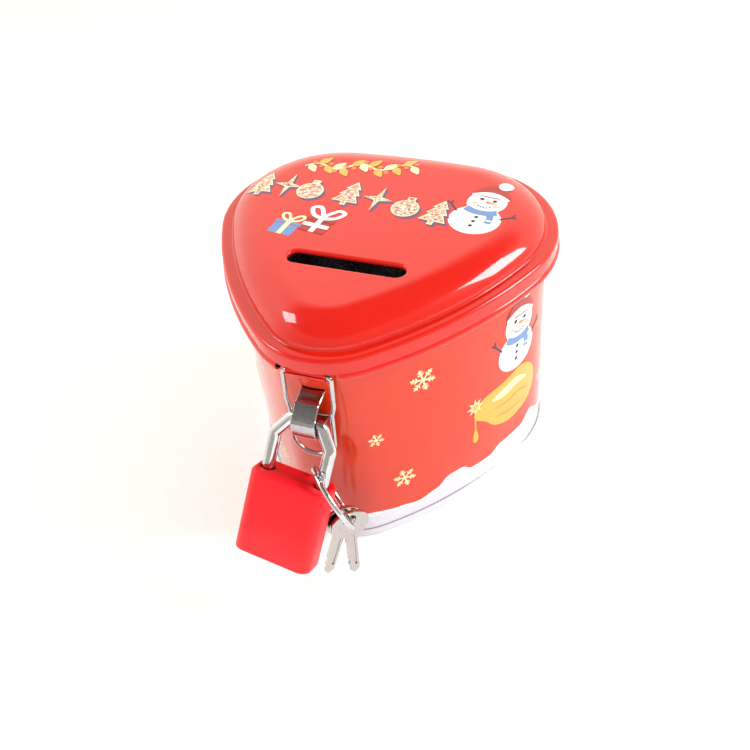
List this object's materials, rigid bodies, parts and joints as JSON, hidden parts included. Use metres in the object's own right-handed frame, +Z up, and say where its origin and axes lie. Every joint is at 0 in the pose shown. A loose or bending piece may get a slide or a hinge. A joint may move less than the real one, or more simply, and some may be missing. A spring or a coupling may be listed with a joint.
{
  "type": "tin money box",
  "caption": "Rounded-triangle tin money box with a hinged domed lid, coin slot, wire hasp and staple closed by a small padlock with key ring and keys.",
  "frame": {"origin": "middle of the plane that the tin stands on, on its plane of symmetry", "axes": "+Z up; -Y towards the rounded tip with the hasp and padlock; +Y towards the lid's hinge; +X to the right of someone facing the hasp"},
  "size_m": [0.084, 0.103, 0.0668],
  "materials": {
    "printed_tin_wall": "glossy lacquer over printed tinplate",
    "printed_tin_lid": "glossy lacquer over printed tinplate",
    "bare_tin": "rolled bright tinplate",
    "steel_wire": "drawn bright wire",
    "chromed_steel": "polished plating",
    "red_plastic": "satin moulded",
    "cast_zinc": "die cast",
    "plated_steel": "bright nickel plating, stamped",
    "brass": "turned"
  },
  "bodies": {
    "tin_body": {"body_wall": "printed_tin_wall", "base_plate": "bare_tin", "hinge_leaf": "printed_tin_wall", "hinge_pin": "steel_wire", "staple_strap": "bare_tin"},
    "lid": {"lid_shell": "printed_tin_lid"},
    "hasp": {"hasp_loop": "steel_wire"},
    "shackle": {"shackle": "chromed_steel"},
    "lock_body": {"lock_jacket": "red_plastic", "lock_block": "cast_zinc", "retainer_pin": "plated_steel", "end_plate": "plated_steel", "latch_spring": "steel_wire", "shackle_spring": "steel_wire"},
    "cylinder": {"lock_plug": "brass", "wafers": "brass"},
    "latch": {"latch_bolt": "brass"},
    "ring": {"key_ring": "chromed_steel"},
    "first_key": {"key_1": "plated_steel"},
    "second_key": {"key_2": "plated_steel"}
  },
  "joints": [
    {"name": "lid_hinge", "type": "hinge", "parent": "tin_body", "child": "lid", "pos_m": [0, 0.03939, 0.0568], "axis": [-1, 0, 0], "range_deg": [0, 105]},
    {"name": "hasp_swing", "type": "hinge", "parent": "lid", "child": "hasp", "pos_m": [0, -0.03935, 0.0568], "axis": [1, 0, 0], "range_deg": [0, 105]},
    {"name": "padlock_swing", "type": "hinge", "parent": "tin_body", "child": "shackle", "pos_m": [0, -0.04256, 0.04544], "axis": [-0.9877, 0.0734, 0.1381], "range_deg": [-8, 95]},
    {"name": "shackle_travel", "type": "slide", "parent": "shackle", "child": "lock_body", "axis": [-0.1564, -0.4637, -0.8721], "range_m": [0, 0.0065]},
    {"name": "cylinder_turn", "type": "hinge", "parent": "lock_body", "child": "cylinder", "pos_m": [-0.00522, -0.05805, 0.01631], "axis": [0.1564, 0.4637, 0.8721], "range_deg": [0, 90]},
    {"name": "latch_travel", "type": "slide", "parent": "lock_body", "child": "latch", "axis": [-0.9877, 0.0734, 0.1381], "range_m": [0, 0.00095]},
    {"name": "ring_turn", "type": "hinge", "parent": "shackle", "child": "ring", "pos_m": [0.00652, -0.04304, 0.04453], "axis": [0.1564, 0.4637, 0.8721], "range_deg": [-20, 0]},
    {"name": "first_key_swing", "type": "hinge", "parent": "ring", "child": "first_key", "pos_m": [0.00914, -0.04799, 0.02165], "axis": [-0.6894, 0.7244, 0], "range_deg": [-35, 5]},
    {"name": "second_key_swing", "type": "hinge", "parent": "ring", "child": "second_key", "pos_m": [0.00776, -0.04695, 0.02171], "axis": [-0.6894, 0.7244, 0], "range_deg": [-40, 0]}
  ],
  "couplings": [
    {"joint": "hasp_swing", "follows": "lid_hinge", "ratio": 1},
    {"joint": "latch_travel", "follows": "cylinder_turn", "m_per_rad": 0.00057296}
  ]
}
